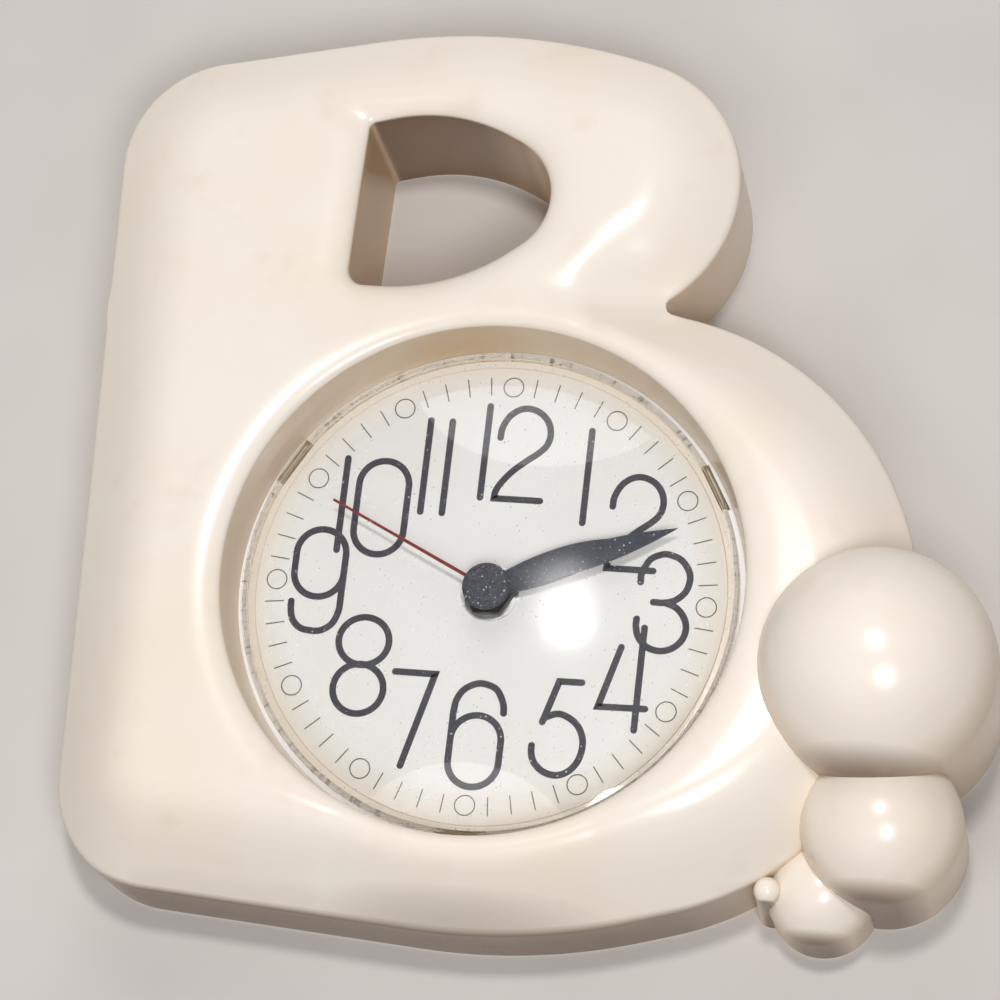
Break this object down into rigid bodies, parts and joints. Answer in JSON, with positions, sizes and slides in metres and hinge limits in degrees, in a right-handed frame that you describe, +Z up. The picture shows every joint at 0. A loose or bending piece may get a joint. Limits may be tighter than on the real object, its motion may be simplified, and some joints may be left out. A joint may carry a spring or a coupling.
{
  "type": "wall clock",
  "caption": "Battery wall clock moulded as an inflated letter with a through hole, a round glazed dial in its lower bowl and bubble domes at one side.",
  "frame": {"origin": "hanging point of the keyhole on the back plane, where the wall touches the case", "axes": "+X to the right seen from the front, +Y into the wall, +Z up; the dial faces -Y"},
  "size_m": [0.227, 0.0647, 0.2235],
  "materials": {
    "case_plastic": "gloss, aged cream",
    "lens_clear": "clear gloss",
    "dial_white": "matt print white",
    "hand_black": "satin black paint",
    "hand_red": "satin red paint",
    "cap_black": "semi-gloss",
    "brass": "turned",
    "steel": "stamped",
    "rubber_black": "matt",
    "housing_black": "fine moulded texture",
    "nylon": "moulded nylon",
    "magnet_grey": "sintered",
    "copper_wire": "enamelled copper wire",
    "board_green": "lacquered",
    "chip_black": "epoxy",
    "cell_jacket": "foil jacket",
    "knob_grey": "moulded"
  },
  "bodies": {
    "clock": {"case": "case_plastic", "lens": "lens_clear", "dial": "dial_white", "dial_nut": "brass", "dial_washer": "steel", "rubber_washer": "rubber_black", "movement_front": "housing_black", "movement_cover": "housing_black", "stator": "steel", "coil_core": "steel", "coil_bobbin": "nylon", "coil_winding": "copper_wire", "circuit_board": "board_green", "chip_cap": "chip_black", "quartz_crystal": "steel", "contact_plus": "brass", "contact_minus": "steel"},
    "minute": {"minute_hand": "hand_black", "cannon_pinion": "brass", "clutch_spring": "brass"},
    "hour": {"hour_hand": "hand_black", "hour_wheel": "nylon"},
    "motion": {"motion_wheel": "nylon"},
    "knob": {"setting_knob": "knob_grey"},
    "second": {"second_hand": "hand_red", "centre_cap": "cap_black", "second_wheel": "nylon"},
    "third": {"third_wheel": "nylon"},
    "centre": {"centre_wheel": "nylon"},
    "intermediate": {"intermediate_wheel": "nylon"},
    "rotor": {"rotor_pinion": "nylon", "rotor_magnet": "magnet_grey"},
    "cell": {"battery_cell": "cell_jacket"}
  },
  "joints": [
    {"name": "minute_turn", "type": "hinge", "parent": "clock", "child": "minute", "pos_m": [0.0005, -0.012, -0.13], "axis": [0, 1, 0], "continuous": true},
    {"name": "hour_turn", "type": "hinge", "parent": "clock", "child": "hour", "pos_m": [0.0005, -0.012, -0.13], "axis": [0, 1, 0], "continuous": true},
    {"name": "motion_turn", "type": "hinge", "parent": "clock", "child": "motion", "pos_m": [-0.00739, -0.012, -0.13287], "axis": [0, 1, 0], "continuous": true},
    {"name": "knob_turn", "type": "hinge", "parent": "clock", "child": "knob", "pos_m": [-0.01383, -0.012, -0.13827], "axis": [0, 1, 0], "continuous": true},
    {"name": "second_turn", "type": "hinge", "parent": "clock", "child": "second", "pos_m": [0.0005, -0.012, -0.13], "axis": [0, 1, 0], "continuous": true},
    {"name": "third_turn", "type": "hinge", "parent": "clock", "child": "third", "pos_m": [-0.01041, -0.012, -0.1237], "axis": [0, 1, 0], "continuous": true},
    {"name": "centre_turn", "type": "hinge", "parent": "clock", "child": "centre", "pos_m": [0.0005, -0.012, -0.13], "axis": [0, 1, 0], "continuous": true},
    {"name": "intermediate_turn", "type": "hinge", "parent": "clock", "child": "intermediate", "pos_m": [0.00837, -0.012, -0.12062], "axis": [0, 1, 0], "continuous": true},
    {"name": "rotor_turn", "type": "hinge", "parent": "clock", "child": "rotor", "pos_m": [0.01913, -0.012, -0.12156], "axis": [0, 1, 0], "continuous": true},
    {"name": "cell_slide", "type": "slide", "parent": "clock", "child": "cell", "axis": [0, 1, 0], "range_m": [0, 0.03]}
  ],
  "couplings": [
    {"joint": "hour_turn", "follows": "minute_turn", "ratio": 0.083333},
    {"joint": "motion_turn", "follows": "minute_turn", "ratio": -0.33333},
    {"joint": "knob_turn", "follows": "minute_turn", "ratio": 1},
    {"joint": "third_turn", "follows": "second_turn", "ratio": -0.125},
    {"joint": "centre_turn", "follows": "second_turn", "ratio": 0.016667},
    {"joint": "intermediate_turn", "follows": "second_turn", "ratio": -6},
    {"joint": "rotor_turn", "follows": "second_turn", "ratio": 30}
  ]
}
